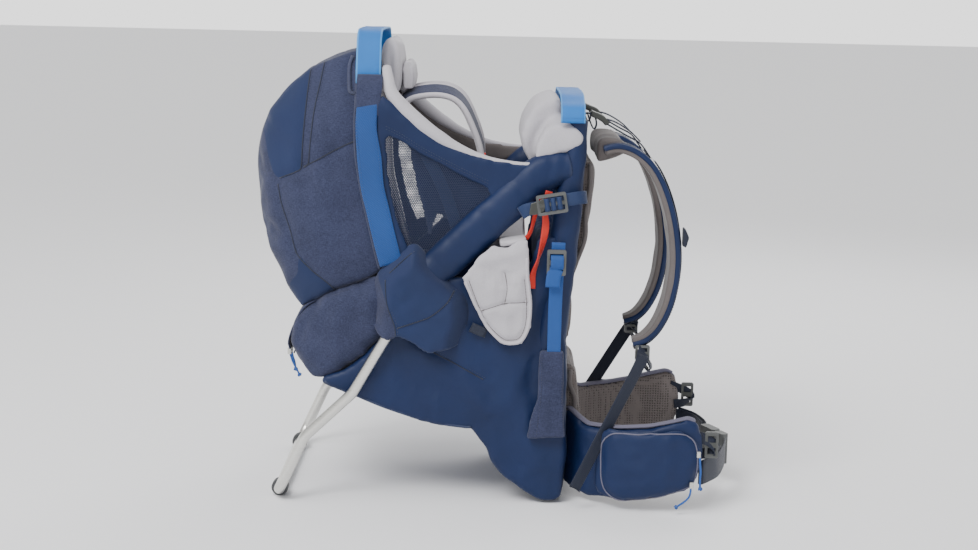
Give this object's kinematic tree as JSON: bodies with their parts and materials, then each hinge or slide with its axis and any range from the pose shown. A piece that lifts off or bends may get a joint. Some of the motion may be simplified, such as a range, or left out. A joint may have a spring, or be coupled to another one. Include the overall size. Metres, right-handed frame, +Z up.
{
  "type": "baby carrier backpack",
  "caption": "Child carrier worn as a backpack: tube frame, padded child seat, rear bag, shoulder harness, hip belt and fold-out kickstand.",
  "frame": {"origin": "on the ground, at the bottom centre of the standing carrier's bounding box", "axes": "+X is the wearer's forward, from the rear bag to the hip buckle; +Y is the wearer's left; +Z is up"},
  "size_m": [0.7313, 0.3878, 0.7015],
  "materials": {
    "alu_tube": "satin anodised",
    "hub_plastic": "moulded",
    "pin_steel": "brushed",
    "black_rubber": "matte",
    "panel_plastic": "moulded sheet",
    "mesh_grey": "spacer mesh",
    "navy_smooth": "fine plain weave",
    "navy_melange": "heathered weave",
    "window_net": "open mesh",
    "grey_knit": "soft knit",
    "blue_webbing": "twill webbing",
    "dark_webbing": "plain webbing",
    "red_webbing": "ribbon",
    "olive_plastic": "moulded",
    "zip_metal": "die cast",
    "cord_blue": "braided cord"
  },
  "bodies": {
    "frame": {"frame_hoop": "alu_tube", "seat_arms": "alu_tube", "rear_hoop": "alu_tube", "hubs": "hub_plastic", "pivot_pins": "pin_steel", "front_foot": "black_rubber", "back_panel_plate": "panel_plastic", "back_pad": "mesh_grey", "lumbar_pad": "mesh_grey", "upright_sleeves": "navy_smooth", "arm_sleeves": "navy_smooth", "hub_covers": "navy_smooth", "rear_bag": "navy_melange", "child_back_panel": "grey_knit", "lower_pocket": "navy_melange", "lower_body": "navy_smooth", "cockpit_walls": "navy_smooth", "window_meshes": "window_net", "rim_pipings": "grey_knit", "headrest_tall": "grey_knit", "headrest_child": "grey_knit", "child_harness": "navy_melange", "drool_pad": "grey_knit", "front_handle": "blue_webbing", "rear_handle": "blue_webbing", "side_straps": "blue_webbing", "side_buckles": "olive_plastic", "side_webbings": "blue_webbing", "webbing_adjusters": "olive_plastic", "seat_adjust_webbing": "red_webbing", "hip_wing_R": "navy_smooth", "hip_wing_L": "navy_smooth", "hip_pockets": "navy_smooth", "hip_webbing_L": "dark_webbing", "hip_buckle_female": "olive_plastic", "zip_sliders": "zip_metal", "hip_cord_upper_R": "cord_blue", "hip_cord_lower_R": "cord_blue", "hip_cord_upper_L": "cord_blue", "hip_cord_lower_L": "cord_blue", "rear_cord_R": "cord_blue", "rear_cord_L": "cord_blue"},
    "kickstand": {"kickstand_tube": "alu_tube", "kickstand_knuckles": "hub_plastic", "kickstand_rings": "black_rubber"},
    "harness": {"yoke_pad": "mesh_grey", "shoulder_strap_R": "navy_smooth", "shoulder_strap_L": "navy_smooth", "load_lifters": "dark_webbing", "strap_ladders": "olive_plastic", "lower_webbings": "dark_webbing", "sternum_strap": "dark_webbing"},
    "sternum_male": {"sternum_buckle": "olive_plastic"},
    "seat": {"child_seat": "grey_knit"},
    "stirrup_right": {"stirrup_R": "navy_melange"},
    "stirrup_left": {"stirrup_L": "navy_melange"},
    "hip_male": {"hip_webbing_R": "dark_webbing", "hip_buckle_male": "olive_plastic"},
    "prong_upper": {"hip_prong_upper": "olive_plastic"},
    "prong_lower": {"hip_prong_lower": "olive_plastic"}
  },
  "joints": [
    {"name": "kickstand_fold", "type": "hinge", "parent": "frame", "child": "kickstand", "pos_m": [-0.132, 0, 0.309], "axis": [0, -1, 0], "range_deg": [0, 56]},
    {"name": "harness_height", "type": "slide", "parent": "frame", "child": "harness", "axis": [0, 0, 1], "range_m": [-0.08, 0], "deforming": ["lower_webbings", "load_lifters"]},
    {"name": "seat_height", "type": "slide", "parent": "frame", "child": "seat", "axis": [0, 0, 1], "range_m": [-0.045, 0]},
    {"name": "stirrup_height_right", "type": "slide", "parent": "frame", "child": "stirrup_right", "axis": [0, 0, 1], "range_m": [-0.05, 0]},
    {"name": "stirrup_height_left", "type": "slide", "parent": "frame", "child": "stirrup_left", "axis": [0, 0, 1], "range_m": [-0.05, 0]},
    {"name": "hip_buckle_release", "type": "slide", "parent": "frame", "child": "hip_male", "axis": [0.4067, -0.9135, 0], "range_m": [0, 0.045]},
    {"name": "prong_upper_squeeze", "type": "slide", "parent": "hip_male", "child": "prong_upper", "axis": [0, 0, -1], "range_m": [0, 0.003], "stiffness_N_per_m": 500},
    {"name": "prong_lower_squeeze", "type": "slide", "parent": "hip_male", "child": "prong_lower", "axis": [0, 0, 1], "range_m": [0, 0.003], "stiffness_N_per_m": 500},
    {"name": "sternum_buckle_release", "type": "slide", "parent": "harness", "child": "sternum_male", "axis": [0, -1, 0], "range_m": [0, 0.025]}
  ],
  "couplings": [
    {"joint": "prong_lower_squeeze", "follows": "prong_upper_squeeze", "ratio": 1}
  ]
}
